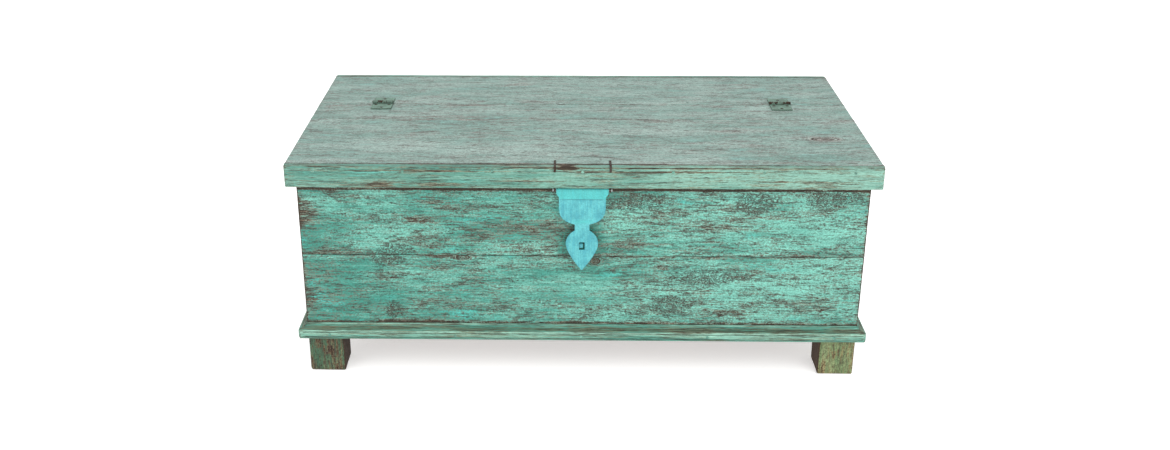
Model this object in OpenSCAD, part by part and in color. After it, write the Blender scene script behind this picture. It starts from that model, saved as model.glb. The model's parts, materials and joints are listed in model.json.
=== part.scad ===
// Low wooden storage chest on block feet, used as a coffee table.
// The rear third of the top is fixed, and the front of it is a hinged lid with a lip
// that overhangs the walls. A hasp hangs from the lid's lip over a padlock tongue.
// Frame: +Z up, the front faces -Y, and the origin is on the floor under the middle of the top.

/* [Top] */
// Width of the whole top, left to right
top_w = 1200; // [1020:10:1400]
// Depth of the whole top, front to back
top_d = 650; // [560:10:760]
// Height of the top surface above the floor
top_z = 476; // [465:1:520]
// Thickness of the top boards
top_t = 20; // [16:1:26]
// Height of the lip round the top
lip_h = 46; // [38:1:52]
// Thickness of the lip
lip_t = 18; // [15:1:22]
// Gap between the lip and the walls
lip_gap = 2; // [1:0.5:5]
// Depth of the fixed rear part of the top
fixed_d = 238; // [180:1:300]
// Gap between the lid and the fixed part
lid_gap = 1.5; // [1:0.5:3]
// Width of the lid's rear plank, behind the plank joint
lid_rear_w = 106; // [80:1:160]

/* [Walls] */
// Thickness of the wall boards
wall_t = 20; // [16:1:26]
// Height of the joint between the upper and the lower wall boards
plank_z = 274; // [200:1:280]
// Gap where two planks meet
plank_gap = 0.6; // [0.2:0.1:1.5]
// Side of the square posts inside the corners
post_w = 38; // [30:1:40]

/* [Base] */
// Height of the feet
foot_h = 84; // [50:1:120]
// Side of a foot, left to right
foot_w = 76; // [72:1:100]
// Side of a foot, front to back
foot_d = 75; // [72:1:100]
// Thickness of the floor boards
floor_t = 20; // [16:1:26]
// Height of the moulding round the base
moulding_h = 33; // [28:1:40]
// How far the moulding stands out from the walls
moulding_out = 18; // [15:1:22]

/* [Lid inside] */
// Width of a lid batten
batten_w = 62; // [45:1:80]
// Thickness of a lid batten
batten_t = 18; // [14:1:24]
// Distance of each lid batten from the middle
batten_x = 330; // [250:5:400]

/* [Butt hinges] */
// Distance of each hinge from the middle
hinge_x = 453; // [350:1:455]
// Length of a hinge along its pin
hinge_w = 46; // [40:1:70]
// Reach of a hinge leaf from the pin
leaf_d = 40; // [34:1:50]
// Thickness of a hinge leaf
leaf_t = 2; // [1.5:0.1:2.5]
// Outer radius of the knuckles
knuckle_r = 4; // [3.6:0.1:5]
// Radius of the hinge pins
pin_r = 2.1; // [1.6:0.1:2.4]

/* [Hasp] */
// Half width of the hasp across its body
hasp_body_r = 47.3; // [40:0.1:55]
// Half width of the hasp's hinge barrel
hasp_barrel_hw = 52.5; // [48:0.5:60]
// Radius of the round upper part of the spade
spade_r = 33; // [28:0.5:38]
// Half width of the neck between body and spade
neck_hw = 15; // [10:0.5:18]
// Thickness of the hasp plate
hasp_t = 2.2; // [1.6:0.1:3]
// Gap between the hanging hasp and the front wall
hasp_gap = 13; // [12:0.5:14]
// Radius of the padlock hole in the tongue
padlock_r = 2.85; // [2:0.05:3]

/* [Hidden] */
$fn = 48;
slip = 0.1;                               // clearance round a pin or tang that is free to move
pinch = 0.02;                             // radial overlap of a pin that is held tight

lid_x = top_w / 2;                        // half the top, left to right
lid_y = top_d / 2;                        // half the top, front to back
inner_x = lid_x - lip_t;                  // inner faces of the side lips
inner_y = lid_y - lip_t;                  // inner faces of the front and back lips
wall_x = inner_x - lip_gap;               // outer faces of the walls
wall_y = inner_y - lip_gap;
hinge_y = lid_y - fixed_d;                // line of the lid's hinges
board_z = top_z - top_t;                  // underside of the top boards
lip_z = top_z - lip_h;                    // lower edge of the lip
floor_z = foot_h + floor_t;               // upper face of the floor
rail_w = 40;                              // rail under the hinge line
rail_lead = 12;                           // how far the rail reaches under the lid

hinge_axis_z = top_z + knuckle_r + 0.2;
leaf_root = knuckle_r + 0.6;              // where a leaf clears the other one's knuckles
knuckle_gap = 0.4;
knuckle_mid = 16;                         // length of the middle knuckle

hasp_barrel_r = 4.4;
hasp_pin_r = 2.4;
wire_r = 1.6;                             // wire of the split pins
eye_r = hasp_pin_r + wire_r - pinch;      // split pin's eye, to the middle of the wire
eye_x = hasp_barrel_hw + 3;
hasp_y = -(lid_y - 11);                   // axis that the hasp swings on
hasp_z = lip_z - eye_r - wire_r - 0.3;
plate_front = -(wall_y + hasp_gap + hasp_t);
crease_z = hasp_z - 18;                   // where the leaning flange meets the flat plate
shoulder_z = hasp_z - 11.5;               // lower end of the tapered shoulders
body_low_z = hasp_z - 36.5;               // where the body starts to round in
body_drop = 37.5;
neck_z = body_low_z - body_drop;
spade_z = hasp_z - 117.5;                 // middle of the spade's round part
spade_drop = 59.5;
kick_z = hasp_z - 144;                    // where the tip starts to turn out
kick_out = 4.5;
slot_z = hasp_z - 121;
slot_w = 11.4;
slot_h = 17;
tongue_w = 7;
tongue_h = 12;
tongue_x = -1.5;                          // the tongue sits low and left of the slot's middle
tongue_z = slot_z - 1.2;
tongue_tip = -(wall_y + hasp_gap - 0.6);
padlock_y = tongue_tip + padlock_r + 1.8;
tang_h = 8;

paint = "mediumaquamarine";
worn_top = "darkseagreen";
raw_wood = "sienna";
iron = "dimgray";
blue = "mediumturquoise";

// A straight board between two opposite corners.
module board(low, high) {
    translate(low) cube(high - low);
}

// Walls: each is two planks, one above the other. The front and back cover the side boards' ends.
lower_z = [floor_z, plank_z - plank_gap / 2];
upper_z = [plank_z + plank_gap / 2, board_z];

module long_wall_board(side, z) {
    y0 = side < 0 ? -wall_y : wall_y - wall_t;
    color(paint) board([-wall_x, y0, z[0]], [wall_x, y0 + wall_t, z[1]]);
}

module end_wall_board(side, z) {
    x0 = side < 0 ? -wall_x : wall_x - wall_t;
    color(paint) board([x0, -wall_y + wall_t, z[0]], [x0 + wall_t, wall_y - wall_t, z[1]]);
}

module front_board(z) {
    color(paint) difference() {
        long_wall_board(-1, z);
        tongue_tang(slip);
    }
}

module corner_post(sx, sy) {
    x = sx * (wall_x - wall_t - post_w / 2);
    y = sy * (wall_y - wall_t - post_w / 2);
    color(raw_wood) translate([x, y, (floor_z + board_z) / 2])
        cube([post_w, post_w, board_z - floor_z], center = true);
}

// The floor is three planks, and the walls stand on it.
module floor_board(i) {
    pitch = 2 * wall_y / 3;
    y0 = -wall_y + i * pitch;
    color(raw_wood) board([-wall_x, y0 + (i > 0 ? plank_gap / 2 : 0), foot_h],
                          [wall_x, y0 + pitch - (i < 2 ? plank_gap / 2 : 0), floor_z]);
}

module foot(sx, sy) {
    color(paint) translate([sx * (wall_x - foot_w / 2), sy * (wall_y - foot_d / 2), foot_h / 2])
        cube([foot_w, foot_d, foot_h], center = true);
}

// Section of the base moulding: a nose with eased edges, and a cove up to the wall.
// X runs out from the wall, and Y runs up.
module moulding_section() {
    cove_r = 9;
    nose_h = moulding_h - cove_r;
    ease = 7;
    union() {
        difference() {
            square([moulding_out, nose_h]);
            translate([moulding_out - ease, 0]) mirror([0, 1]) translate([0, -ease])
                difference() {
                    square([2 * ease, 2 * ease]);
                    circle(ease);
                }
            translate([moulding_out - ease, nose_h - ease]) difference() {
                square([2 * ease, 2 * ease]);
                circle(ease);
            }
        }
        difference() {
            square([moulding_out - ease, moulding_h]);
            translate([moulding_out - ease, moulding_h]) circle(cove_r);
        }
    }
}

// One length of moulding along the front, its ends cut to 45 degrees. half is half its wall's length.
module moulding_length(half, wall_face) {
    out = moulding_out;
    intersection() {
        translate([half + out, -wall_face, foot_h]) rotate([90, 0, -90])
            linear_extrude(2 * (half + out)) moulding_section();
        translate([0, 0, foot_h - 1]) linear_extrude(moulding_h + 2)
            polygon([[-half, -wall_face], [-half - out, -wall_face - out],
                     [half + out, -wall_face - out], [half, -wall_face]]);
    }
}

module long_moulding(side) {
    color(paint) rotate(side < 0 ? 0 : 180) moulding_length(wall_x, wall_y);
}

module end_moulding(side) {
    color(paint) rotate(side < 0 ? -90 : 90) moulding_length(wall_y, wall_x);
}

// The front and back lips run the full width, with their upper edges flush with the top boards.
module long_lip(side) {
    edges = [side * inner_y, side * lid_y];
    board([-lid_x, min(edges), lip_z], [lid_x, max(edges), top_z]);
}

module lid_lip_front() {
    color(paint) difference() {
        long_lip(-1);
        for (sx = [-1, 1])
            translate([sx * eye_x, hasp_y, lip_z - 1]) cylinder(r = shank_r + slip, h = lip_h + 2);
    }
}

module fixed_lip_back() {
    color(paint) long_lip(1);
}

// The side lips lie under the ends of the top boards.
module side_lip(side, y0, y1) {
    edges = [side * inner_x, side * lid_x];
    color(paint) board([min(edges), y0, lip_z], [max(edges), y1, board_z]);
}

module lid_lip_side(side) {
    side_lip(side, -inner_y, hinge_y - lid_gap / 2);
}

module fixed_lip_side(side) {
    side_lip(side, hinge_y + lid_gap / 2, inner_y);
}

module top_board(y0, y1) {
    color(worn_top) board([-lid_x, y0, board_z], [lid_x, y1, top_z]);
}

lid_joint_y = hinge_y - lid_gap / 2 - lid_rear_w;   // joint between the lid's two planks

module lid_board_front() {
    top_board(-inner_y, lid_joint_y - plank_gap / 2);
}

module lid_board_rear() {
    top_board(lid_joint_y + plank_gap / 2, hinge_y - lid_gap / 2);
}

module fixed_top_board() {
    top_board(hinge_y + lid_gap / 2, inner_y);
}

module hinge_rail() {
    color(raw_wood) board([-wall_x + wall_t, hinge_y - rail_lead, board_z - rail_w],
                          [wall_x - wall_t, hinge_y - rail_lead + rail_w, board_z]);
}

batten_y = [-wall_y + wall_t + 8, hinge_y - rail_lead - 8];   // ends of a batten

module lid_batten(side) {
    x = side * batten_x;
    color(raw_wood) board([x - batten_w / 2, batten_y[0], board_z - batten_t],
                          [x + batten_w / 2, batten_y[1], board_z]);
}

// Butt hinge, drawn round its pin: the pin lies along X, and dir is 1 for the leaf behind it.
module knuckle(x0, x1) {
    translate([x0, 0, 0]) rotate([0, 90, 0]) cylinder(r = knuckle_r, h = x1 - x0);
}

module leaf_tab(x0, x1, dir) {
    y = dir * leaf_root;
    translate([x0, min(0, y), top_z - hinge_axis_z]) cube([x1 - x0, leaf_root + slip, leaf_t]);
}

// Knuckle spans along the pin: the fixed leaf has the outer two, the lid leaf the middle one.
outer_x0 = knuckle_mid / 2 + knuckle_gap;
outer_knuckles = [[-hinge_w / 2, -outer_x0], [outer_x0, hinge_w / 2]];
middle_knuckle = [[-knuckle_mid / 2, knuckle_mid / 2]];

screw_spots = [[-hinge_w / 2 + 8, 12], [hinge_w / 2 - 8, 12], [0, leaf_d - 9]];

module hinge_leaf(dir, spans, bore_r) {
    low = top_z - hinge_axis_z;
    difference() {
        union() {
            translate([-hinge_w / 2, dir > 0 ? leaf_root : -leaf_d, low])
                cube([hinge_w, leaf_d - leaf_root, leaf_t]);
            for (s = spans) {
                knuckle(s[0], s[1]);
                leaf_tab(s[0], s[1], dir);
            }
        }
        rotate([0, 90, 0]) cylinder(r = bore_r, h = hinge_w + 2, center = true);
        for (p = screw_spots)
            translate([p[0], dir * p[1], low]) screw_head(slip);
    }
}

module at_hinge(side) {
    translate([side * hinge_x, hinge_y, hinge_axis_z]) children();
}

module fixed_leaf(side) {
    color(iron) at_hinge(side) hinge_leaf(1, outer_knuckles, pin_r - pinch);
}

module lid_leaf(side) {
    color(iron) at_hinge(side) hinge_leaf(-1, middle_knuckle, pin_r + slip);
}

module hinge_pin(side) {
    head = 1.2;
    color(iron) at_hinge(side) rotate([0, 90, 0]) {
        cylinder(r = pin_r, h = hinge_w + 2 * head, center = true);
        for (s = [-1, 1])
            translate([0, 0, s * (hinge_w / 2 + head / 2 + slip)])
                cylinder(r = pin_r + 1, h = head, center = true);
    }
}

// Countersunk screw of the hinges, its head filling the leaf's thickness.
screw_shank_r = 1.7;
screw_head_r = 3.6;

module screw_head(grow) {
    cylinder(r1 = screw_shank_r + grow, r2 = screw_head_r + grow, h = leaf_t + 0.001 + grow);
}

module hinge_screw() {
    difference() {
        union() {
            cylinder(r1 = screw_shank_r, r2 = screw_head_r, h = leaf_t);
            translate([0, 0, -15]) cylinder(r = screw_shank_r, h = 15.5);
        }
        translate([-screw_head_r, -0.5, leaf_t - 0.8]) cube([2 * screw_head_r, 1, 1]);
    }
}

module hinge_screws(dir) {
    color(iron) for (side = [-1, 1], p = screw_spots)
        translate([side * hinge_x + p[0], hinge_y + dir * p[1], top_z]) hinge_screw();
}

// Front outline of the hasp, in X and Z: shoulders, rounded body, neck and spade.
function body_edge(n = 14) = [for (i = [0:n])
    let (a = 90 * i / n, x = hasp_body_r * pow(cos(a), 2 / 2.4), z = body_drop * pow(sin(a), 2 / 2.4))
    if (x > neck_hw) [x, body_low_z - z]];
function spade_top(n = 8) = [for (i = [0:n])
    let (a0 = acos(neck_hw / spade_r), a = a0 * (1 - i / n)) [spade_r * cos(a), spade_z + spade_r * sin(a)]];
function spade_low(n = 14) = [for (i = [1:n])
    let (t = i / n) [spade_r * (1 - t * t), spade_z - spade_drop * t]];
function hasp_right() = concat(
    [[hasp_barrel_hw, hasp_z + hasp_barrel_r + 1], [hasp_barrel_hw, hasp_z - 4], [hasp_body_r, shoulder_z]],
    body_edge(), [[neck_hw, neck_z]], spade_top(), spade_low());

module hasp_outline() {
    right = hasp_right();
    n = len(right);
    polygon(concat(right, [for (i = [n - 2:-1:0]) [-right[i][0], right[i][1]]]));
}

// Side view of the hasp, in Y and Z: barrel, flange leaning forward, flat plate, tip turned out.
module hasp_side() {
    front = plate_front;
    back = front + hasp_t;
    tip_z = spade_z - spade_drop - 1;
    difference() {
        union() {
            polygon([
                [hasp_y - hasp_barrel_r, hasp_z], [front, crease_z], [front, kick_z],
                [front - kick_out, tip_z], [back - kick_out, tip_z], [back, kick_z],
                [back, crease_z], [hasp_y - hasp_barrel_r + hasp_t, hasp_z]
            ]);
            translate([hasp_y, hasp_z]) circle(hasp_barrel_r);
        }
        translate([hasp_y, hasp_z]) circle(hasp_pin_r + slip);
    }
}

module hasp_plate() {
    w = 2 * hasp_barrel_hw;
    color(blue) difference() {
        intersection() {
            translate([-w / 2, 0, 0]) rotate([90, 0, 90]) linear_extrude(w) hasp_side();
            rotate([90, 0, 0]) linear_extrude(lid_y + 20) hasp_outline();
        }
        translate([0, plate_front, slot_z]) cube([slot_w, 4 * hasp_t, slot_h], center = true);
    }
}

module hasp_hinge_pin() {
    reach = eye_x + wire_r + 1.5;
    head = 1.5;
    color(iron) translate([0, hasp_y, hasp_z]) rotate([0, 90, 0]) {
        cylinder(r = hasp_pin_r, h = 2 * reach, center = true);
        for (s = [-1, 1])
            translate([0, 0, s * (reach + head / 2)]) cylinder(r = hasp_pin_r + 1, h = head, center = true);
    }
}

// Split pin: an eye under the lip, a shank through it, and two legs clenched on top,
// one towards the back and one over the front edge.
shank_r = 2.2;
leg_w = 4.4;
leg_t = 1.2;
leg_back = 27;
leg_down = 10;

module hasp_split_pin(side) {
    color(iron) translate([side * eye_x, hasp_y, 0]) {
        translate([0, 0, hasp_z]) rotate([0, 90, 0]) rotate_extrude()
            translate([eye_r, 0]) circle(wire_r);
        translate([0, 0, hasp_z + eye_r]) cylinder(r = shank_r, h = top_z + leg_t - hasp_z - eye_r);
        front = -lid_y - hasp_y;
        board([-leg_w / 2, front - leg_t, top_z], [leg_w / 2, leg_back, top_z + leg_t]);
        board([-leg_w / 2, front - leg_t, top_z - leg_down], [leg_w / 2, front, top_z + leg_t]);
    }
}

// Padlock tongue, driven through the front wall and clenched inside.
module tongue_tang(grow) {
    board([tongue_x - tongue_w / 2 - grow, -wall_y - grow, tongue_z - tang_h / 2 - grow],
          [tongue_x + tongue_w / 2 + grow, -wall_y + wall_t + grow, tongue_z + tang_h / 2 + grow]);
}

module lock_tongue() {
    clench_t = 4;
    clench_h = 18;
    inside = -wall_y + wall_t;
    x0 = tongue_x - tongue_w / 2;
    x1 = tongue_x + tongue_w / 2;
    color(blue) difference() {
        union() {
            board([x0, padlock_y, tongue_z - tongue_h / 2], [x1, -wall_y, tongue_z + tongue_h / 2]);
            translate([x0, padlock_y, tongue_z]) intersection() {
                rotate([0, 90, 0]) cylinder(r = tongue_h / 2, h = tongue_w);
                translate([0, tongue_tip - padlock_y, -tongue_h]) cube([tongue_w, tongue_h, 2 * tongue_h]);
            }
            board([x0, -wall_y - 1, tongue_z - tang_h / 2], [x1, inside, tongue_z + tang_h / 2]);
            board([x0, inside, tongue_z + tang_h / 2 - clench_h],
                  [x1, inside + clench_t, tongue_z + tang_h / 2]);
        }
        translate([tongue_x, padlock_y, tongue_z]) rotate([0, 90, 0])
            cylinder(r = padlock_r, h = 2 * tongue_w, center = true);
    }
}

// Nails and wood screws point along -Z before they are turned. Their heads stand just proud of z = 0.
proud = 0.3;

module nail(length) {
    translate([0, 0, -length]) cylinder(r = 1.5, h = length);
    translate([0, 0, proud - 1.1]) cylinder(r = 3, h = 1.1);
}

module wood_screw(length, r) {
    head_h = 1.8 * r;
    difference() {
        union() {
            translate([0, 0, -length]) cylinder(r = r, h = length);
            translate([0, 0, proud - head_h]) cylinder(r1 = r, r2 = 2 * r, h = head_h);
        }
        translate([-2 * r, -0.25 * r, -0.6 * r]) cube([4 * r, 0.5 * r, r]);
    }
}

// count places spaced evenly from -reach to reach
function spread(count, reach) = [for (i = [0:count - 1]) reach * (2 * i / (count - 1) - 1)];

from_front = [90, 0, 0];
from_back = [-90, 0, 0];
from_right = [0, 90, 0];
from_left = [0, -90, 0];
from_below = [180, 0, 0];

module driven(p, way, length) {
    translate(p) rotate(way) nail(length);
}

// Two nails in each end of every wall board, into the corner post behind it, and one through
// each end wall into the rail. The end walls' nails are higher, so that they cross above the others.
module wall_nails() {
    into_post = wall_t + post_w / 2;
    stagger = 14;
    x = wall_x - into_post - 6;
    y = wall_y - into_post + 6;
    heights = [floor_z + 40, plank_z - 40, plank_z + 40, board_z - 50];
    color(iron) {
        for (z = heights, s = [-1, 1]) {
            driven([s * x, -wall_y, z], from_front, 45);
            driven([s * x, wall_y, z], from_back, 45);
            driven([wall_x, s * y, z + stagger], from_right, 45);
            driven([-wall_x, s * y, z + stagger], from_left, 45);
        }
        driven([wall_x, hinge_y + 8, board_z - rail_w / 2], from_right, 45);
        driven([-wall_x, hinge_y + 8, board_z - rail_w / 2], from_left, 45);
    }
}

// Nails up through the floor boards into the walls that stand on them.
module floor_nails() {
    color(iron) for (s = [-1, 1]) {
        for (x = spread(4, wall_x - 250))
            driven([x, s * (wall_y - wall_t / 2), foot_h], from_below, 55);
        for (y = spread(2, 70))
            driven([s * (wall_x - wall_t / 2), y, foot_h], from_below, 55);
    }
}

module moulding_nails() {
    z = foot_h + 12;
    color(iron) {
        for (x = spread(5, wall_x - 50)) {
            driven([x, -wall_y - moulding_out, z], from_front, 30);
            driven([x, wall_y + moulding_out, z], from_back, 30);
        }
        for (y = spread(3, wall_y - 85)) {
            driven([wall_x + moulding_out, y, z], from_right, 30);
            driven([-wall_x - moulding_out, y, z], from_left, 30);
        }
    }
}

lip_nail_z = top_z - top_t / 2;           // nails through the long lips, into the top boards' edges

// Two nails at y, up through the side lips into the ends of the top boards.
module side_lip_nails(y) {
    for (s = [-1, 1]) driven([s * (lid_x - lip_t / 2), y, lip_z], from_below, 40);
}

// Nails down through the fixed top board into the back wall, the end walls and the rail.
module fixed_top_nails() {
    color(iron) {
        for (x = spread(5, wall_x - 60)) driven([x, wall_y - wall_t / 2, top_z], [0, 0, 0], 50);
        for (x = spread(5, hinge_x + 37)) driven([x, hinge_y + 18, top_z], [0, 0, 0], 50);
        for (s = [-1, 1]) driven([s * (wall_x - wall_t / 2), (hinge_y + wall_y) / 2, top_z], [0, 0, 0], 50);
        for (x = spread(4, wall_x - 190)) driven([x, lid_y, lip_nail_z], from_back, 40);
        for (y = [hinge_y + 45, inner_y - 35]) side_lip_nails(y);
    }
}

module lid_nails() {
    first = -lid_y + 75;
    last = hinge_y - 47;
    color(iron) {
        for (x = spread(7, wall_x - 40)) driven([x, -lid_y, lip_nail_z], from_front, 40);
        for (y = [first, (first + last) / 2, last]) side_lip_nails(y);
    }
}

module batten_screws() {
    rows = [batten_y[0] + 40, lid_joint_y - 50, lid_joint_y + 45];
    color(iron) for (s = [-1, 1], y = rows, dx = [-15, 15])
        translate([s * batten_x + dx, y, board_z - batten_t]) rotate(from_below) wood_screw(32, 2);
}

// Screws down from inside the chest, beside each corner post, into the foot below.
module foot_screws() {
    beside_x = wall_x - (foot_w + wall_t + post_w) / 2;
    beside_y = wall_y - (foot_d + wall_t + post_w) / 2;
    color(iron) for (sx = [-1, 1], sy = [-1, 1], p = [[beside_x, wall_y - 43], [wall_x - 35, beside_y]])
        translate([sx * p[0], sy * p[1], floor_z]) wood_screw(60, 2.6);
}

front_board(lower_z);  // front_board_lower
front_board(upper_z);  // front_board_upper
long_wall_board(1, lower_z);  // back_board_lower
long_wall_board(1, upper_z);  // back_board_upper
end_wall_board(-1, lower_z);  // left_board_lower
end_wall_board(-1, upper_z);  // left_board_upper
end_wall_board(1, lower_z);  // right_board_lower
end_wall_board(1, upper_z);  // right_board_upper
corner_post(-1, -1);  // corner_post_front_left
corner_post(1, -1);  // corner_post_front_right
corner_post(-1, 1);  // corner_post_rear_left
corner_post(1, 1);  // corner_post_rear_right
floor_board(0);  // floor_board_front
floor_board(1);  // floor_board_middle
floor_board(2);  // floor_board_rear
long_moulding(-1);  // base_moulding_front
long_moulding(1);  // base_moulding_back
end_moulding(-1);  // base_moulding_left
end_moulding(1);  // base_moulding_right
foot(-1, -1);  // foot_front_left
foot(1, -1);  // foot_front_right
foot(-1, 1);  // foot_rear_left
foot(1, 1);  // foot_rear_right
hinge_rail();
fixed_top_board();
fixed_lip_back();
fixed_lip_side(-1);  // fixed_lip_left
fixed_lip_side(1);  // fixed_lip_right
lid_board_front();
lid_board_rear();
lid_lip_front();
lid_lip_side(-1);  // lid_lip_left
lid_lip_side(1);  // lid_lip_right
lid_batten(-1);  // lid_batten_left
lid_batten(1);  // lid_batten_right
fixed_leaf(-1);  // hinge_left_fixed_leaf
lid_leaf(-1);  // hinge_left_lid_leaf
hinge_pin(-1);  // hinge_left_pin
fixed_leaf(1);  // hinge_right_fixed_leaf
lid_leaf(1);  // hinge_right_lid_leaf
hinge_pin(1);  // hinge_right_pin
hinge_screws(1);  // hinge_screws_fixed
hinge_screws(-1);  // hinge_screws_lid
hasp_plate();
hasp_hinge_pin();
hasp_split_pin(-1);  // hasp_split_pin_left
hasp_split_pin(1);  // hasp_split_pin_right
lock_tongue();
wall_nails();
floor_nails();
moulding_nails();
fixed_top_nails();
lid_nails();
batten_screws();
foot_screws();
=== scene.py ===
"""The looks of a low wooden chest in worn turquoise paint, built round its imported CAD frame.

Lengths are in millimetres until a mesh is made. Every board is a closed shell of its own, with rounded
arrises, sunken grain, knots and worn places. It carries five attributes that its material reads: grain (a
place in the wood, first along the grain), wear, crackle, knot and pale.
"""

import itertools
import json
import math
from collections import namedtuple

import bpy
import numpy as np
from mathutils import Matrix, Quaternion, Vector


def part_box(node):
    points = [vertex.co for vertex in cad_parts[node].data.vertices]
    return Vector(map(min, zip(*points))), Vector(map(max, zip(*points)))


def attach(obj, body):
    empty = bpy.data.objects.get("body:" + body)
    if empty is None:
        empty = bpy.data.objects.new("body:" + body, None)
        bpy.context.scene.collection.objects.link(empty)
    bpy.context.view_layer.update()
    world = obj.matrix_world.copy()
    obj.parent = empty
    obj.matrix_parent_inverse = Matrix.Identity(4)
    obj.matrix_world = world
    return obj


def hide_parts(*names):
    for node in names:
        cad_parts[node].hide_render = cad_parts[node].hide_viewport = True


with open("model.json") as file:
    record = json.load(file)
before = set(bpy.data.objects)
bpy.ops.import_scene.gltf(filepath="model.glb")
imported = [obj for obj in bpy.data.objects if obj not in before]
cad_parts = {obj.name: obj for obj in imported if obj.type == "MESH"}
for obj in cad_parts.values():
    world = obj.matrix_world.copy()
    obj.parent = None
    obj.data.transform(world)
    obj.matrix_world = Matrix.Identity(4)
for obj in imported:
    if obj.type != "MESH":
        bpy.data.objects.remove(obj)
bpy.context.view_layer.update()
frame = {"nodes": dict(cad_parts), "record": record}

MM = 0.001                           # a millimetre in the scene's unit, the metre
X, Y, Z = 0, 1, 2


def box_mm(node):
    """Lowest and highest corner of a CAD node, in millimetres."""
    low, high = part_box(node)
    return np.array(low) / MM, np.array(high) / MM


def joint(name):
    """A joint's record: its place and axis come from the frame."""
    return next(j for j in frame["record"]["behaviour"]["joints"] if j["name"] == name)


# ---------------------------------------------------------------- noise and shapes


def lattice(cell, seed):
    """A repeatable random value from -1 to 1 for each whole-numbered cell: a hash made with large primes."""
    h = cell[:, 0] * 73856093 ^ cell[:, 1] * 19349663 ^ cell[:, 2] * 83492791 ^ seed * 2654435761
    h &= 0xFFFFFFFF
    h = (h ^ h >> 15) * 2246822519 & 0xFFFFFFFF
    h = (h ^ h >> 13) * 3266489917 & 0xFFFFFFFF
    return ((h ^ h >> 16) & 0xFFFFFF) / 0x7FFFFF - 1.0


def noise(points, seed=0):
    """Smooth noise from -1 to 1, whose features are about one unit wide."""
    cell = np.floor(points).astype(np.int64)
    part = points - cell
    part = part * part * (3 - 2 * part)
    total = np.zeros(len(points))
    for corner in itertools.product((0, 1), repeat=3):
        weight = np.prod(np.where(corner, part, 1 - part), axis=1)
        total += weight * lattice(cell + np.array(corner), seed)
    return total


def layered(points, octaves, seed=0):
    """Noise summed over octaves, each twice as fine and 0.55 as strong."""
    total = np.zeros(len(points))
    for i in range(octaves):
        total += 0.55**i * noise(points * 2**i, seed + i)
    return total


def smooth(value, low, high):
    """0 below low and 1 above high, with a smooth rise between them."""
    t = np.clip((value - low) / (high - low), 0, 1)
    return t * t * (3 - 2 * t)


def stations(low, high, step, edge):
    """Places along one side of a board: close together over its rounded edges, step apart between them."""
    turn = edge * (1 - np.tan(np.linspace(math.pi / 4, 0, 4)))
    count = max(1, round((high - low - 2 * edge) / step))
    middle = np.linspace(low + edge, high - edge, count + 1)
    return np.concatenate([low + turn[:-1], middle, high - turn[-2::-1]])


def shell(xs, ys, zs):
    """Vertices and outward quads of a box's surface, with lines at the given places along its sides."""
    shape = (len(xs), len(ys), len(zs))
    surface = np.zeros(shape, bool)
    for axis, end in itertools.product(range(3), (0, -1)):
        surface[tuple(end if i == axis else slice(None) for i in range(3))] = True
    ids = np.full(shape, -1)
    ids[surface] = np.arange(surface.sum())
    points = np.stack(np.meshgrid(xs, ys, zs, indexing="ij"), -1)[surface]
    quads = []
    for axis, end in itertools.product(range(3), (0, -1)):
        side = np.take(ids, end, axis)
        face = np.stack([side[:-1, :-1], side[1:, :-1], side[1:, 1:], side[:-1, 1:]], -1).reshape(-1, 4)
        outward = (end == -1) != (axis == Y)
        quads.append(face if outward else face[:, ::-1])
    return points, np.concatenate(quads)


def round_edges(points, low, high, radius):
    """Rounds a box's edges, with a radius of its own at each point."""
    inner = np.clip(points, low + radius, high - radius)
    away = points - inner
    return inner + away * radius / np.maximum(np.linalg.norm(away, axis=1), 1e-9)[:, None]


def make_mesh(name, points, faces, smooth_faces=True):
    """A mesh object from points in millimetres."""
    mesh = bpy.data.meshes.new(name)
    if isinstance(faces, np.ndarray):
        faces = faces.tolist()
    mesh.from_pydata((np.asarray(points) * MM).tolist(), [], faces)
    mesh.polygons.foreach_set("use_smooth", [smooth_faces] * len(mesh.polygons))
    thing = bpy.data.objects.new(name, mesh)
    bpy.context.scene.collection.objects.link(thing)
    return thing


def normals_of(thing):
    """A mesh's vertex normals as an array."""
    flat = np.zeros(len(thing.data.vertices) * 3)
    thing.data.vertex_normals.foreach_get("vector", flat)
    return flat.reshape(-1, 3)


def points_of(thing):
    """A mesh's vertices as an array, in millimetres."""
    flat = np.zeros(len(thing.data.vertices) * 3)
    thing.data.vertices.foreach_get("co", flat)
    return flat.reshape(-1, 3) / MM


def set_points(thing, points):
    """Moves a mesh's vertices to the given places, in millimetres."""
    thing.data.vertices.foreach_set("co", (points * MM).ravel())
    thing.data.update()


def set_attribute(thing, name, values):
    """Stores a number or a vector on each vertex, for the material to read."""
    vector = values.ndim == 2
    made = thing.data.attributes.new(name, "FLOAT_VECTOR" if vector else "FLOAT", "POINT")
    made.data.foreach_set("vector" if vector else "value", values.astype(np.float32).ravel())


# ---------------------------------------------------------------- materials


def colour(red, green, blue):
    """A colour given as 0 to 255 on screen, as the linear values that nodes take."""
    def linear(v):
        v /= 255
        return v / 12.92 if v <= 0.04045 else ((v + 0.055) / 1.055) ** 2.4
    return (linear(red), linear(green), linear(blue), 1.0)


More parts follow.
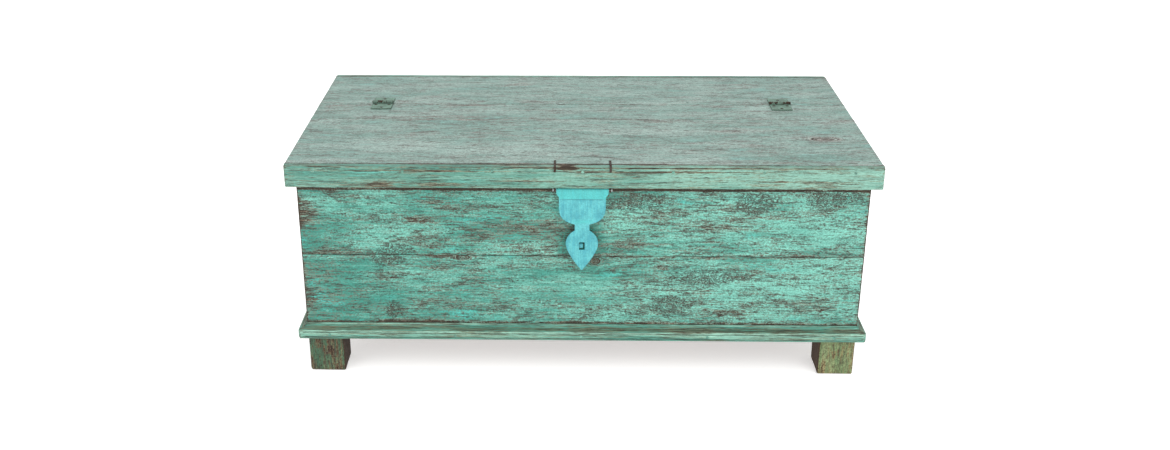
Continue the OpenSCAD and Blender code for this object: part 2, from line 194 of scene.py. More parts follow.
class Look:
    """Builds one procedural material. Its methods return the socket that holds their result."""

    def __init__(self, name):
        self.material = bpy.data.materials.new(name)
        self.material.use_nodes = True
        self.tree = self.material.node_tree
        self.tree.nodes.clear()

    def feed(self, socket, value):
        """Links a socket into an input, or sets the input to a plain value."""
        if isinstance(value, bpy.types.NodeSocket):
            self.tree.links.new(value, socket)
        else:
            socket.default_value = value

    def node(self, kind, inputs, **settings):
        """Adds a shader node, with its inputs fed and its settings set."""
        made = self.tree.nodes.new("ShaderNode" + kind)
        for key, value in settings.items():
            setattr(made, key, value)
        for key, value in inputs.items():
            self.feed(made.inputs[key], value)
        return made

    def attribute(self, name, output="Fac"):
        """A value that the mesh carries. It is 0 on a mesh that doesn't carry it."""
        return self.node("Attribute", {}, attribute_name=name).outputs[output]

    def object_place(self):
        """A point's place on its object, in millimetres."""
        return self.scaled(self.node("TexCoord", {}).outputs["Object"], (MM, MM, MM))

    def math(self, operation, a, b=0.0):
        return self.node("Math", {0: a, 1: b}, operation=operation).outputs[0]

    def times(self, a, b):
        return self.math("MULTIPLY", a, b)

    def add(self, *terms):
        """Sums plain terms, and (socket, weight) terms, which count from the middle of their 0 to 1 range."""
        total = 0.0
        for term in terms:
            if isinstance(term, tuple):
                socket, weight = term
                inputs = {0: socket, 1: weight, 2: -weight / 2}
                term = self.node("Math", inputs, operation="MULTIPLY_ADD").outputs[0]
            total = term if total == 0.0 else self.math("ADD", total, term)
        return total

    def scaled(self, place, sizes):
        """place divided by sizes, so that a texture's features come out about that long."""
        factors = tuple(1 / s for s in sizes)
        return self.node("VectorMath", {0: place, 1: factors}, operation="MULTIPLY").outputs[0]

    def noise(self, place, sizes, detail=4.0, rough=0.6, swirl=0.0):
        """Noise from 0 to 1 around 0.5, whose features have the given sizes."""
        inputs = {"Vector": self.scaled(place, sizes), "Scale": 1.0, "Detail": detail,
                  "Roughness": rough, "Distortion": swirl}
        return self.node("TexNoise", inputs).outputs[0]

    def contour(self, value, half_width):
        """Thin lines along which a 0 to 1 field passes through its middle."""
        away = self.math("ABSOLUTE", self.math("SUBTRACT", value, 0.5))
        return self.ramp(away, half_width, 0.25 * half_width)

    def grey(self, value):
        """A number as a grey colour."""
        return self.node("CombineColor", {0: value, 1: value, 2: value}).outputs[0]

    def ramp(self, value, low, high, out_low=0.0, out_high=1.0):
        """A smooth rise between two input values."""
        inputs = {"Value": value, "From Min": low, "From Max": high, "To Min": out_low, "To Max": out_high}
        return self.node("MapRange", inputs, interpolation_type="SMOOTHSTEP").outputs[0]

    def mix(self, factor, a, b, blend="MIX"):
        """Colour a where factor is 0 and colour b where it is 1."""
        return self.node("Mix", {0: factor, 6: a, 7: b}, data_type="RGBA", blend_type=blend).outputs[2]

    def bump(self, height, depth_mm):
        """A normal tilted as if the surface rose by height times depth_mm."""
        inputs = {"Height": height, "Distance": depth_mm * MM, "Strength": 1.0}
        return self.node("Bump", inputs).outputs[0]

    def finish(self, base, roughness, normal, metallic=0.0, specular=0.4, glow=0.0):
        """Ends the material with one shader and returns it."""
        inputs = {"Base Color": base, "Roughness": roughness, "Normal": normal, "Metallic": metallic,
                  "Specular IOR Level": specular, "Emission Color": (1, 1, 1, 1), "Emission Strength": glow}
        shader = self.node("BsdfPrincipled", inputs).outputs[0]
        self.node("OutputMaterial", {"Surface": shader})
        return self.material


# Paint colours of one part of the chest: thick paint in its deep and its light places, a bright accent,
# and paint rubbed so thin that the wood shows through it.
Paint = namedtuple("Paint", "deep light accent thin")

# Dark and light colour of bare wood: brown under the chest's paint, redder under that of the feet.
BROWN_WOOD = (colour(62, 50, 42), colour(120, 97, 80))
RED_WOOD = (colour(56, 34, 26), colour(112, 70, 52))
KNOT_WOOD = (colour(50, 36, 28), colour(112, 80, 60))
STAINED_WOOD = colour(92, 74, 62)
PORE = colour(50, 42, 34)
RUST = colour(74, 50, 36)
GRIME_AND_SHADE = colour(34, 84, 92)           # grime in the blue hasp's scratches, and painted shade in its crease and dimple


def grain_fields(k, grain):
    """Noise of several widths that runs along the grain, and thin broken lines that follow it."""
    fibre = k.noise(grain, (34, 2.2, 2.2), 4, 0.68)
    streak = k.noise(grain, (110, 6.5, 6.5), 4, 0.62, 0.2)
    broken = k.ramp(k.noise(grain, (40, 6, 6), 3, 0.6), 0.44, 0.54)
    coarse = k.contour(k.noise(grain, (240, 13, 13), 4, 0.6, 0.1), 0.03)
    fine = k.contour(k.noise(grain, (130, 6, 6), 3, 0.55, 0.1), 0.05)
    veins = k.times(k.math("MAXIMUM", coarse, k.times(fine, 0.75)), broken)
    return fibre, streak, veins


def bare_colour(k, fibre, streak, knot, wood=BROWN_WOOD):
    """Bare wood between two colours, with dark rings where knot is above 0."""
    plain = k.mix(k.ramp(k.add((streak, 2.0), (fibre, 1.6), 0.5), 0.1, 0.9), *wood)
    rings = k.math("SINE", k.add(k.times(knot, 24.0), k.times(fibre, 3.0)))
    knotty = k.mix(k.ramp(rings, -0.6, 0.9), *KNOT_WOOD)
    return k.mix(k.ramp(knot, 0.0, 0.12), plain, knotty)


def painted_wood(name, paint, rub=0.0, veining=0.85, gloss=0.5, relief=1.0, spread=1.0, bite=1.0,
                 crust=1.0, stretch=1.0, wood=BROWN_WOOD, from_object=False):
    """Old paint over wood: rubbed through along the grain, cracked where it is thick, with dark pores.

    rub is how much is rubbed away everywhere, spread how much that varies from place to place, and bite how
    strongly the small dark and light flecks stand out. crust is how rough and cracked the paint is across
    the grain, veining how dark its lines are, and relief how deep its bump is. stretch makes the grain longer
    and narrower, for slender pieces. wood is the pair of colours under the paint. from_object takes the
    grain from the object's own axes, for small parts that carry no attributes.
    """
    k = Look(name)
    if from_object:
        grain = k.object_place()
    else:
        grain = k.attribute("grain", "Vector")
    grain = k.scaled(grain, (stretch, 1 / stretch, 1 / stretch))
    wear = k.attribute("wear")
    fibre, streak, veins = grain_fields(k, grain)
    patch = k.noise(grain, (85, 24, 24), 4, 0.62, 0.25)
    tone = k.noise(grain, (190, 50, 50), 4, 0.6, 0.3)
    fleck = k.noise(grain, (11, 2.8, 2.8), 4, 0.75)
    grit = k.noise(grain, (4.0, 3.0, 3.0), 3, 0.7, 0.6)

    # How far the paint has gone: local over a hand's breadth, rubbed down to single fibres.
    local = k.add(wear, rub, (patch, 1.35 * spread))
    rubbed = k.add(local, (streak, 1.1 * spread), (fibre, 1.8), (fleck, 1.6), (grit, 1.8 * crust))
    thinned = k.ramp(rubbed, -0.1, 0.45)
    bared = k.ramp(rubbed, 0.5, 0.72, 0.0, 0.85)

    # The pale attribute makes the paint lighter or darker; on the moulding it carries a painted highlight and
    # painted shade.
    paleness = k.add(k.attribute("pale"), 0.5, (tone, 1.2), (streak, 0.8), (fibre, 1.0))
    coat = k.mix(k.ramp(paleness, 0.2, 0.8), paint.deep, paint.light)
    coat = k.mix(k.ramp(k.add((tone, -1.2), (patch, -1.4), 0.5), 0.66, 0.9, 0.0, 0.8), coat, paint.accent)
    coat = k.mix(k.times(thinned, 0.85), coat, paint.thin)
    base = k.mix(bared, coat, bare_colour(k, fibre, streak, k.attribute("knot"), wood))

    # Dark lines: broken pores along the grain, short flecks that gather where the paint is thin, and a maze
    # of cracks in thick paint.
    maze = k.contour(k.noise(grain, (7, 5, 5), 3, 0.6, 0.6), 0.09)
    crazed = k.add(k.attribute("crackle"), 0.12 * crust, (fleck, 1.2), (patch, 1.4))
    cracks = k.times(maze, k.ramp(crazed, 0.15, 0.5))
    pores = k.times(veins, k.ramp(rubbed, -0.4, 0.2, 0.2, 1.0))
    dash = k.ramp(k.add(k.noise(grain, (24, 2.8, 2.8), 4, 0.66), k.times(local, 0.2)), 0.60, 0.66)
    lines = k.math("MAXIMUM", k.math("MAXIMUM", pores, cracks), dash)
    base = k.mix(k.times(lines, veining), base, PORE)
    shade = k.add(1.0, (fleck, -0.9 * bite), (fibre, -0.6 * bite), (grit, -1.7 * bite * crust))
    base = k.mix(1.0, base, k.grey(shade), "MULTIPLY")

    height = k.add(k.times(grit, 0.6 * crust), k.times(fleck, 0.6), k.times(fibre, 0.5),
                   k.times(streak, 0.7), k.times(bared, -0.3), k.times(lines, -0.8))
    roughness = k.ramp(k.add(bared, (fibre, 0.6)), 0.0, 1.0, gloss, 0.88)
    return k.finish(base, roughness, k.bump(height, 0.5 * relief), specular=0.3)


def bare_wood(name):
    """Unpainted dark brown wood."""
    k = Look(name)
    grain = k.attribute("grain", "Vector")
    fibre, streak, veins = grain_fields(k, grain)
    base = bare_colour(k, fibre, streak, k.attribute("knot"))
    stain = k.noise(grain, (120, 50, 50), 3, 0.5)
    base = k.mix(k.times(k.ramp(stain, 0.4, 0.7), 0.5), base, STAINED_WOOD)
    base = k.mix(k.times(veins, 0.7), base, PORE)
    height = k.add(k.times(fibre, 0.7), k.times(veins, -0.8))
    return k.finish(base, k.ramp(fibre, 0.3, 0.7, 0.72, 0.9), k.bump(height, 0.5), specular=0.25)


def painted_iron(name, light, deep, metal, bare=0.0, strokes=0.0, gloss=0.35, edges=0.35, crest=None,
                 accent=None):
    """Iron under brushed paint that has worn off along its edges.

    light and deep are the paint, and metal the iron under it. bare is how much paint is gone everywhere,
    edges how much more is gone along the edges, and strokes how strongly the brush marks show. The paint
    above the height crest is mostly gone. accent is the colour of a painted highlight where the pale
    attribute
    is above 0: on the hasp, its upturned flange and a fold.
    """
    k = Look(name)
    place = k.object_place()
    cloud = k.noise(place, (18, 18, 24), 4, 0.6)
    pits = k.noise(place, (2.4, 2.4, 2.4), 4, 0.68)
    brush = k.noise(place, (2.6, 12, 46), 4, 0.62)

    facing = k.node("NewGeometry", {}).outputs["True Normal"]
    rounded = k.node("Bevel", {"Radius": 2.0 * MM}, samples=4).outputs[0]
    agreement = k.node("VectorMath", {0: facing, 1: rounded}, operation="DOT_PRODUCT").outputs["Value"]
    edge = k.ramp(agreement, 0.98, 0.82, 0.0, edges)
    if crest is not None:
        rise = k.node("SeparateXYZ", {0: place}).outputs["Z"]
        edge = k.math("MAXIMUM", edge, k.ramp(rise, crest - 0.5, crest + 1.0, 0.0, 0.45))

    rubbed = k.add(edge, bare, (cloud, 1.5), (pits, 1.3))
    bared = k.ramp(rubbed, 0.42, 0.6)
    coat = k.mix(k.ramp(k.add((cloud, 1.4), (brush, 2.4 * strokes), 0.5), 0.2, 0.8), deep, light)
    if accent is not None:
        coat = k.mix(k.ramp(k.add(k.attribute("pale"), (brush, 0.6)), 0.0, 1.0, 0.0, 0.75), coat, accent)
    iron = k.mix(k.ramp(pits, 0.35, 0.65), metal, RUST)
    base = k.mix(bared, coat, iron)
    base = k.mix(1.0, base, k.grey(k.add(1.0, (pits, -1.0), (brush, -0.9 * strokes))), "MULTIPLY")
    # The grime colour where the stain attribute is above 0; on the hasp this is also painted shade in its
    # crease and dimple.
    base = k.mix(k.ramp(k.attribute("stain"), 0.0, 1.0, 0.0, 0.8), base, GRIME_AND_SHADE)
    height = k.add(k.times(pits, 0.35), k.times(brush, 1.2 * strokes), k.times(bared, -0.4))
    roughness = k.ramp(k.add((pits, 0.8), (cloud, 0.5), 0.5), 0.0, 1.0, gloss, gloss + 0.35)
    metallic = k.times(bared, 0.6)
    return k.finish(base, roughness, k.bump(height, 0.35), metallic=metallic, specular=0.5)


WALL_PAINT = Paint(deep=colour(56, 128, 114), light=colour(114, 179, 163),
                   accent=colour(76, 172, 160), thin=colour(120, 132, 118))
# The top's paint is paler and greyer than the walls': rubbed paint, and a painted sheen of the bright room on
# the top.
TOP_PAINT_AND_SHEEN = Paint(deep=colour(106, 142, 132), light=colour(146, 170, 162),
                  accent=colour(120, 166, 158), thin=colour(146, 138, 132))
# Its light paint also makes the painted highlight along the moulding's nose.
MOULDING_PAINT = Paint(deep=colour(74, 138, 122), light=colour(146, 194, 174),
                       accent=colour(116, 184, 166), thin=colour(124, 128, 104))
LIP_PAINT = Paint(deep=colour(74, 130, 116), light=colour(128, 172, 156),
                  accent=colour(98, 176, 162), thin=colour(132, 132, 110))
FOOT_PAINT = Paint(deep=colour(46, 78, 58), light=colour(94, 112, 82),
                   accent=colour(70, 104, 78), thin=colour(110, 88, 62))
PALE_FOOT_PAINT = Paint(deep=colour(94, 112, 74), light=colour(134, 144, 102),
                        accent=colour(100, 132, 90), thin=colour(140, 118, 78))
KNUCKLE_CREST = 479.0                # height above which the hinges' knuckles are rubbed bare

looks = {
    "wall": painted_wood("worn_turquoise_paint", WALL_PAINT, crust=1.25),
    "top": painted_wood("rubbed_grey_green_paint_and_sheen", TOP_PAINT_AND_SHEEN, rub=-0.1, gloss=0.42, relief=0.5, spread=0.8,
                        bite=1.6, crust=0.7),
    "lip": painted_wood("worn_lip_paint", LIP_PAINT, rub=-0.16, veining=0.9, relief=0.8, bite=1.2,
                        crust=0.5, stretch=1.4),
    "moulding": painted_wood("worn_moulding_paint", MOULDING_PAINT, rub=-0.04, relief=0.8, spread=0.9,
                             bite=1.4, crust=0.3, stretch=1.9),
    "foot": painted_wood("worn_olive_paint", FOOT_PAINT, rub=0.02, bite=1.8, spread=2.0, wood=RED_WOOD),
    "pale_foot": painted_wood("worn_pale_olive_paint", PALE_FOOT_PAINT, rub=-0.05, veining=0.7, bite=1.4,
                              spread=1.3, wood=RED_WOOD),
    "bare": bare_wood("bare_brown_wood"),
    "wall_dots": painted_wood("paint_over_wall_nails", WALL_PAINT, rub=-0.3, from_object=True),
    "top_dots": painted_wood("paint_over_top_nails", TOP_PAINT_AND_SHEEN, rub=-0.2, from_object=True),
    "lip_dots": painted_wood("paint_over_lip_nails", LIP_PAINT, rub=-0.3, from_object=True),
    # The hasp's accent is its painted highlight on the flange and a fold.
    "hasp": painted_iron("brushed_sky_blue_paint", colour(90, 181, 184), colour(62, 150, 160),
                         colour(138, 136, 152), bare=-0.3, strokes=0.7, accent=colour(70, 180, 176)),
    "iron": painted_iron("worn_hinge_iron", colour(116, 150, 134), colour(88, 112, 100), colour(44, 38, 34),
                         bare=0.1, gloss=0.5, edges=1.1, crest=KNUCKLE_CREST),
    # The hasp's hinge pin: rubbed bright iron, coloured near-white as a painted glint at its ends.
    "glinting_iron": painted_iron("rubbed_iron_with_painted_glint", colour(188, 198, 198), colour(140, 152, 154),
                                colour(70, 66, 62), bare=-0.1, gloss=0.25),
    "dark_iron": painted_iron("dark_iron", colour(74, 74, 66), colour(52, 46, 40), colour(44, 36, 30),
                              bare=0.5, gloss=0.55),
}

# ---------------------------------------------------------------- boards

DEEPEST = 3.0                        # how far a surface may sink
THROUGH = 60                         # a mark's reach through the thickness of its board

# A place on a board where it looks different. kind is "worn", "crackle", "pale" or "knot"; at and reach are
# in the frame's millimetres. A worn mark with a negative amount is a place where the paint has stayed whole,
# and a pale mark with a negative amount is a darker place.
Mark = namedtuple("Mark", "kind at reach amount")


def mark_field(points, mark, seed):
    """How strongly a mark acts on each point, with a ragged border."""
    reach = np.array(mark.reach, float)
    away = np.linalg.norm((points - np.array(mark.at)) / reach, axis=1)
    ragged = 0.3 * layered(points / (0.5 * reach + 2), 3, seed)
    return mark.amount * smooth(1.0 - away + ragged, 0.0, 0.55)


def knot_ring(points, mark, along, across):
    """Distance from a knot's centre in the board's face, and its part across the grain, in knot radii."""
    du = (points[:, along] - mark.at[along]) / mark.reach[along]
    dv = (points[:, across] - mark.at[across]) / mark.reach[across]
    return np.hypot(du, dv), dv


def edge_gaps(points, low, high):
    """Each point's distances to the three nearest pairs of sides, the smallest first."""
    return np.sort(np.minimum(points - low, high - points), axis=1)


def weather(name, points, quads, gaps, axes, seed, marks=(), bare=None, relief=0.45, edge_wear=0.35):
    """Makes a piece of wood from its shell: grain, knots and worn places, all sunk below the shell's surface.

    axes are the axis along the grain, the one over the broad face and the one through the thickness. gaps are
    each point's distances to the sides. Faces that look the way of bare carry no paint. relief is the depth
    of the grain in millimetres, and edge_wear how much paint the edges have lost.
    """
    along, across, thick = axes
    grain = points.copy()
    sink = np.zeros(len(points))
    knot = np.zeros(len(points))
    wear = np.zeros(len(points))
    crackle = np.zeros(len(points))
    pale = np.zeros(len(points))
    for i, mark in enumerate(marks):
        if mark.kind == "knot":
            away, dv = knot_ring(points, mark, along, across)
            inside = np.clip(1 - away, 0, 1)
            flow = mark.at[across] + dv * mark.reach[across] * (1 - 1 / np.maximum(away, 1.0) ** 2)
            rings = mark.at[across] + 1.5 * mark.reach[across] * inside
            grain[:, across] = np.where(away < 4, np.where(away < 1, rings, flow), grain[:, across])
            knot = np.maximum(knot, inside)
            wear += mark.amount * smooth(1.5 - away, 0, 0.8)
            sink += 0.9 * smooth(inside, 0, 0.5) - 0.5 * smooth(1.7 - away, 0, 0.5) * (inside == 0)
        elif mark.kind == "worn":
            wear += mark_field(points, mark, seed + 7 * i)
        elif mark.kind == "pale":
            pale += mark_field(points, mark, seed + 7 * i)
        else:
            crackle = np.maximum(crackle, mark_field(points, mark, seed + 7 * i))

    ragged = 0.55 + 0.9 * layered(points / 34, 2, seed + 3)
    wear += edge_wear * np.exp(-gaps[:, 1] / 3.0) * ragged + 0.1 * np.exp(-gaps[:, 1] / 14)

    # Each board starts somewhere else in the wood, and its grain wanders a little.
    start = np.array([seed * 13.7 % 4000, seed * 7.3 % 900, seed * 3.1 % 900])
    grain = grain[:, [along, across, thick]] + start
    grain[:, 1] += 9 * noise(grain / (420, 130, 130), seed + 5)

    thing = make_mesh(name, points, quads)
    normal = normals_of(thing)
    if bare is not None:
        wear += 2.0 * smooth(normal @ np.array(bare, float), 0.4, 0.6)
    ridge = 0.5 + 0.5 * layered(grain / (120, 6.5, 6.5), 3, seed)
    hollow = 0.5 + 0.5 * noise(grain / (260, 60, 60), seed + 9)
    cracked = crackle * (0.5 + 0.5 * layered(grain / (9, 5, 5), 2, seed + 11))
    inset = relief * (0.7 * np.clip(ridge, 0, 1) + 0.5 * hollow + 1.4 * np.clip(cracked, 0, 1)) + sink
    inset = np.clip(inset, 0.0, DEEPEST) * smooth(gaps[:, 1], 0.0, 2.0)
    set_points(thing, points - normal * inset[:, None])

    fields = {"grain": grain, "wear": wear, "crackle": crackle, "knot": knot, "pale": pale}
    for attribute, values in fields.items():
        set_attribute(thing, attribute, values)
    return thing


def seed_of(node):
    """A whole number that depends on a node's name alone."""
    return sum(ord(letter) * (i + 1) for i, letter in enumerate(node))


def place_piece(thing, look, body, node):
    """Gives a piece its material and its body, in place of its CAD node."""
    thing.data.materials.append(looks[look])
    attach(thing, body)
    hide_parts(node)


# Half the width and depth of the top, and the radius of its corners, as seen from above.
TOP_HALF = np.array([box_mm("lid_lip_front")[1][X], box_mm("fixed_lip_back")[1][Y]])
CORNER_R = 9.0
SNUG_R = 1.3                         # radius of edges that meet another piece of wood


def round_corners(points, half, radius):
    """Rounds the upright corners of a block that is centred on the origin, as seen from above."""
    inner = np.clip(points[:, :2], radius - half, half - radius)
    away = points[:, :2] - inner
    distance = np.maximum(np.linalg.norm(away, axis=1), 1e-9)
    kept = np.minimum(1.0, radius / distance)[:, None]
    return np.column_stack([inner + away * kept, points[:, 2]])


def board(node, look, body, along=X, across=Z, step=(5, 2.8), edge=3.0, snug=(), **weathering):
    """One board with its grain along an axis.

    across is the axis over its broad face, and step the distances between its points along the grain and
    across it. snug lists the sides, as (axis, end), that meet another piece of wood: their edges are sharper.
    """
    low, high = box_mm(node)
    seed = seed_of(node)
    thick = 3 - along - across
    steps = np.zeros(3)
    steps[along], steps[across], steps[thick] = step[0], step[1], max(step[1], 4.0)
    points, quads = shell(*(stations(low[i], high[i], steps[i], edge) for i in range(3)))

    radius = edge * (0.75 + 0.25 * noise(points / 45, seed))
    for axis, end in snug:
        gap = high[axis] - points[:, axis] if end > 0 else points[:, axis] - low[axis]
        radius = np.where(gap <= edge, np.minimum(radius, SNUG_R), radius)
    rounded = round_corners(round_edges(points, low, high, radius[:, None]), TOP_HALF, CORNER_R)
    gaps = edge_gaps(points, low, high)
    thing = weather(node + "_wood", rounded, quads, gaps, (along, across, thick), seed, **weathering)
    place_piece(thing, look, body, node)


FRONT = box_mm("front_board_upper")[0][Y]      # the front wall's outer face
LIP_FRONT = box_mm("lid_lip_front")[0][Y]      # the front lip's outer face
TOP = box_mm("lid_board_front")[1][Z]          # the top face


def front_mark(kind, x, z, rx, rz, amount):
    """A mark on the front wall."""
    return Mark(kind, (x, FRONT, z), (rx, THROUGH, rz), amount)


def corner_marks(z, rz):
    """Paint rubbed off down the front wall's two upright corners."""
    low, high = box_mm("front_board_upper")
    return [Mark("worn", (x, FRONT, z), (4, 5, rz), 0.8) for x in (low[X], high[X])]


def top_mark(kind, x, y, rx, ry, amount):
    """A mark on the top."""
    return Mark(kind, (x, y, TOP), (rx, ry, THROUGH), amount)


UPPER_MARKS = corner_marks(350, 160) + [
    # A painted shadow under the lip: a dark line along the top of the visible wall, drawn as bare worn wood.
    front_mark("worn", 0, 420.5, 2000, 3, 1.2),
    # Darker round and behind the hasp's spade: painted shade of the hanging hasp, and paint darkened where
    # the hasp swings.
    front_mark("pale", 2, 303, 54, 46, -1.0),
    front_mark("pale", 340, 360, 400, 110, 0.2),
    front_mark("pale", -580, 300, 180, 80, -0.2),
    front_mark("pale", -150, 330, 130, 30, -0.2),
    front_mark("worn", -575, 365, 60, 34, 0.55),
    front_mark("worn", -315, 396, 34, 12, 0.4),
    front_mark("worn", -325, 355, 46, 14, 0.5),
    front_mark("worn", -190, 330, 130, 34, 0.16),
    front_mark("worn", -70, 325, 70, 46, 0.2),
    front_mark("worn", 230, 370, 200, 48, 0.16),
    front_mark("worn", 110, 300, 90, 10, 0.3),
    front_mark("worn", 490, 405, 70, 16, 0.25),
    front_mark("worn", -440, 300, 60, 30, -0.15),
    front_mark("worn", 305, 314, 22, 20, -0.35),
    front_mark("worn", 470, 330, 90, 40, -0.2),
    front_mark("worn", -420, 380, 60, 40, -0.2),
    front_mark("crackle", -388, 284, 48, 22, 0.9),
    front_mark("crackle", 505, 402, 66, 22, 1.0),
    front_mark("crackle", 350, 396, 60, 28, 0.7),
    front_mark("crackle", 120, 390, 70, 30, 0.45),
]

LOWER_MARKS = corner_marks(190, 160) + [
    front_mark("worn", 0, 118, 2000, 4, 0.7),
    front_mark("pale", 380, 190, 360, 110, 0.22),
    front_mark("pale", -540, 180, 220, 120, -0.3),
    front_mark("worn", -560, 190, 90, 80, 0.24),
    front_mark("worn", -330, 122, 150, 7, 0.45),
    front_mark("worn", 300, 146, 70, 13, 0.32),
    front_mark("worn", 165, 246, 22, 12, 0.4),
    front_mark("worn", 200, 170, 130, 40, 0.12),
    front_mark("worn", 470, 165, 70, 26, 0.22),
    front_mark("worn", -40, 225, 150, 34, -0.3),
    front_mark("worn", -435, 248, 50, 18, -0.25),
    front_mark("worn", 300, 190, 40, 30, -0.2),
    front_mark("crackle", 190, 160, 70, 30, 1.0),
    front_mark("crackle", -395, 262, 44, 14, 0.8),
    front_mark("crackle", -395, 150, 24, 28, 0.35),
    front_mark("crackle", 240, 225, 110, 26, 0.45),
    front_mark("knot", -245, 269, 17, 6, 0.3),
    front_mark("knot", 28, 262, 13, 9, 0.5),
    front_mark("pale", 20, 262, 40, 16, -0.9),
]

LID_FRONT_MARKS = [
    Mark("worn", (-20, -307, TOP), (575, 3.5, 4), 0.8),
    top_mark("knot", 512, -148, 34, 15, 0.5),
    top_mark("worn", -265, -265, 90, 22, 0.22),
    top_mark("worn", 300, -230, 160, 24, 0.12),
    top_mark("worn", -290, -28, 160, 12, 0.25),
    top_mark("worn", 300, -292, 300, 9, 0.2),
    top_mark("worn", 60, -190, 420, 16, 0.14),
    top_mark("worn", -330, -120, 260, 14, 0.14),
    top_mark("worn", 330, -95, 240, 9, 0.16),
    top_mark("pale", -420, -200, 170, 40, 0.3),
    top_mark("pale", 150, -110, 240, 34, 0.25),
    top_mark("pale", 430, -260, 160, 26, -0.25),
    top_mark("worn", 240, -40, 200, 14, 0.2),
]

LID_REAR_MARKS = [
    top_mark("worn", -545, 55, 60, 30, 0.25),
    top_mark("worn", -260, 78, 100, 10, 0.3),
    top_mark("worn", -260, -8, 160, 10, 0.3),
    top_mark("worn", 0, 60, 80, 16, 0.14),
]


def lip_mark(kind, x, z, rx, rz, amount):
    """A mark on the front lip's outer face."""
    return Mark(kind, (x, LIP_FRONT, z), (rx, 12, rz), amount)


LIP_MARKS = [
    lip_mark("pale", 400, 450, 420, 40, 0.25),
    Mark("worn", (-20, LIP_FRONT + 18, TOP), (575, 4, 4), 0.6),
    Mark("worn", (60, LIP_FRONT + 1, TOP - 1), (300, 4, 3), 0.3),
    lip_mark("worn", 0, 466, 900, 2.2, 0.4),
    lip_mark("worn", 190, 466, 280, 2.6, 0.5),
    lip_mark("worn", -330, 467, 200, 2.4, 0.45),
    lip_mark("worn", 150, 474, 500, 1.8, 0.5),
    lip_mark("worn", 300, 447, 300, 1.8, 0.35),
    lip_mark("worn", 300, 456, 200, 1.6, 0.35),
    lip_mark("worn", -150, 447, 160, 1.6, 0.35),
    lip_mark("worn", -405, 437, 34, 7, 0.5),
    lip_mark("worn", -280, 438, 60, 5, 0.4),
    lip_mark("worn", 470, 440, 60, 10, 0.2),
    lip_mark("worn", -32, 473, 24, 5, 0.9),
    Mark("worn", (-32, LIP_FRONT + 8, TOP), (26, 12, 6), 0.8),
    lip_mark("worn", 395, 444, 14, 12, 0.3),
    lip_mark("worn", 350, 440, 60, 5, 0.3),
    lip_mark("worn", 180, 444, 10, 12, 0.25),
]

FIXED_TOP_MARKS = [
    top_mark("worn", -145, 245, 46, 22, 0.24),
    top_mark("worn", -40, 110, 120, 14, 0.2),
    top_mark("worn", 420, 230, 120, 26, 0.1),
    top_mark("worn", -470, 290, 70, 20, -0.2),
]


def build_walls():
    """Two planks to each wall, with bare wood inside. The planks meet along one line."""
    for level, joint_side, marks in (("upper", -1, UPPER_MARKS), ("lower", 1, LOWER_MARKS)):
        snug = [(Z, joint_side)]
        board(f"front_board_{level}", "wall", "carcass", marks=marks, snug=snug, bare=(0, 1, 0))
        board(f"back_board_{level}", "wall", "carcass", step=(10, 5), snug=snug, bare=(0, -1, 0))
        for side, inward in (("left", 1), ("right", -1)):
            board(f"{side}_board_{level}", "wall", "carcass", along=Y, step=(8, 4),
                  snug=snug + [(Y, -1), (Y, 1)], bare=(inward, 0, 0))


def build_top():
    """The lid's two planks, the fixed board and the lips."""
    thin_worn = dict(across=Y, step=(8, 3.8), edge=3.5, relief=0.35, bare=(0, 0, -1), edge_wear=0.2)
    both = [(Y, -1), (Y, 1)]
    board("lid_board_front", "top", "lid", snug=both, marks=LID_FRONT_MARKS, **thin_worn)
    board("lid_board_rear", "top", "lid", snug=both, marks=LID_REAR_MARKS, **thin_worn)
    board("fixed_top_board", "top", "carcass", snug=both, marks=FIXED_TOP_MARKS, **thin_worn)
    board("lid_lip_front", "lip", "lid", step=(6, 2.2), edge=5.0, snug=[(Y, 1)], marks=LIP_MARKS, relief=0.4,
          bare=(0, 1, 0))
    board("fixed_lip_back", "lip", "carcass", step=(8, 3), edge=5.0, snug=[(Y, -1)], bare=(0, -1, 0))
    for side, inward in (("left", 1), ("right", -1)):
        low_lip = dict(along=Y, step=(6, 3), edge=4.0, snug=[(Z, 1), (Y, -1), (Y, 1)], bare=(inward, 0, 0))
        board(f"lid_lip_{side}", "lip", "lid", **low_lip)
        board(f"fixed_lip_{side}", "lip", "carcass", **low_lip)


def foot_marks(foot):
    """A rubbed place in the middle of a foot's front, and a streak down it."""
    low, high = box_mm(foot)
    x, y, z = (low[X] + high[X]) / 2, low[Y], (low[Z] + high[Z]) / 2
    return [Mark("worn", (x, y, z + 8), (22, 30, 16), 0.38), Mark("worn", (x + 12, y, z), (4, 30, 60), 0.3)]


def build_feet():
    """Block feet, bare on the sides that face each other under the chest. The right ones are worn paler."""
    for end in ("front", "rear"):
        for side, inward, look in (("left", 1, "foot"), ("right", -1, "pale_foot")):
            foot = f"foot_{end}_{side}"
            board(foot, look, "carcass", along=Z, across=X, step=(5, 3), edge=6.0, marks=foot_marks(foot),
                  bare=(inward, 0, 0), relief=0.6, edge_wear=0.5)


def build_frame():
    """The unpainted wood inside: corner posts, floor, hinge rail and the lid's battens."""
    for end, side in itertools.product(("front", "rear"), ("left", "right")):
        board(f"corner_post_{end}_{side}", "bare", "carcass", along=Z, across=X, step=(12, 5), edge=2.0)
    for row in ("front", "middle", "rear"):
        board(f"floor_board_{row}", "bare", "carcass", across=Y, step=(12, 5), edge=2.0)
    board("hinge_rail", "bare", "carcass", step=(12, 5), edge=2.0)
    for side in ("left", "right"):
        board(f"lid_batten_{side}", "bare", "lid", along=Y, across=X, step=(12, 5), edge=2.5)


NOSE, EASE, COVE = 24.0, 7.0, 9.0    # height of the moulding's nose, radius of its edges and of its cove
